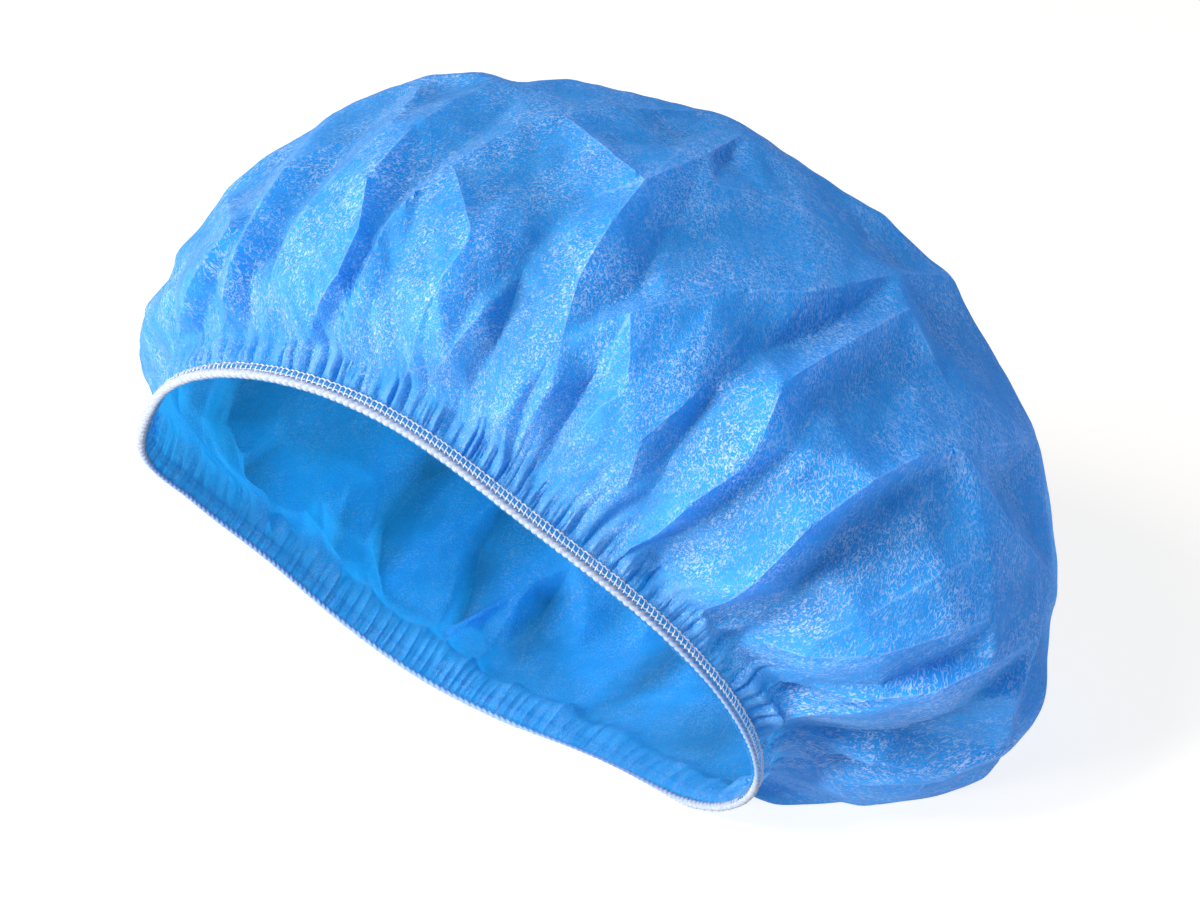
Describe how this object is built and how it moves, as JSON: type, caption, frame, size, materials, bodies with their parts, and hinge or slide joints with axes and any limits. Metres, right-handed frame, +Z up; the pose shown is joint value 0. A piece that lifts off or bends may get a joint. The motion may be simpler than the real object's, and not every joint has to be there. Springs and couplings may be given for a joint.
{
  "type": "disposable bouffant cap",
  "caption": "Puffed nonwoven cap gathered into an elastic edge, open where the head goes in, lying on its side.",
  "frame": {"origin": "bottom centre of the bounding box, on the surface that the cap lies on", "axes": "+X to the right of the cap as seen with its mouth towards the viewer's left, the cap's longest way; +Z up; +Y away from the viewer; the mouth faces down towards -X and -Y"},
  "size_m": [0.2732, 0.2128, 0.2088],
  "materials": {
    "nonwoven_cloth": "matte embossed spun-bonded polypropylene",
    "elastic_band": "white wrapped elastic with overlocked thread"
  },
  "bodies": {
    "root": {"crown": "nonwoven_cloth", "elastic_edge": "elastic_band"}
  },
  "joints": []
}
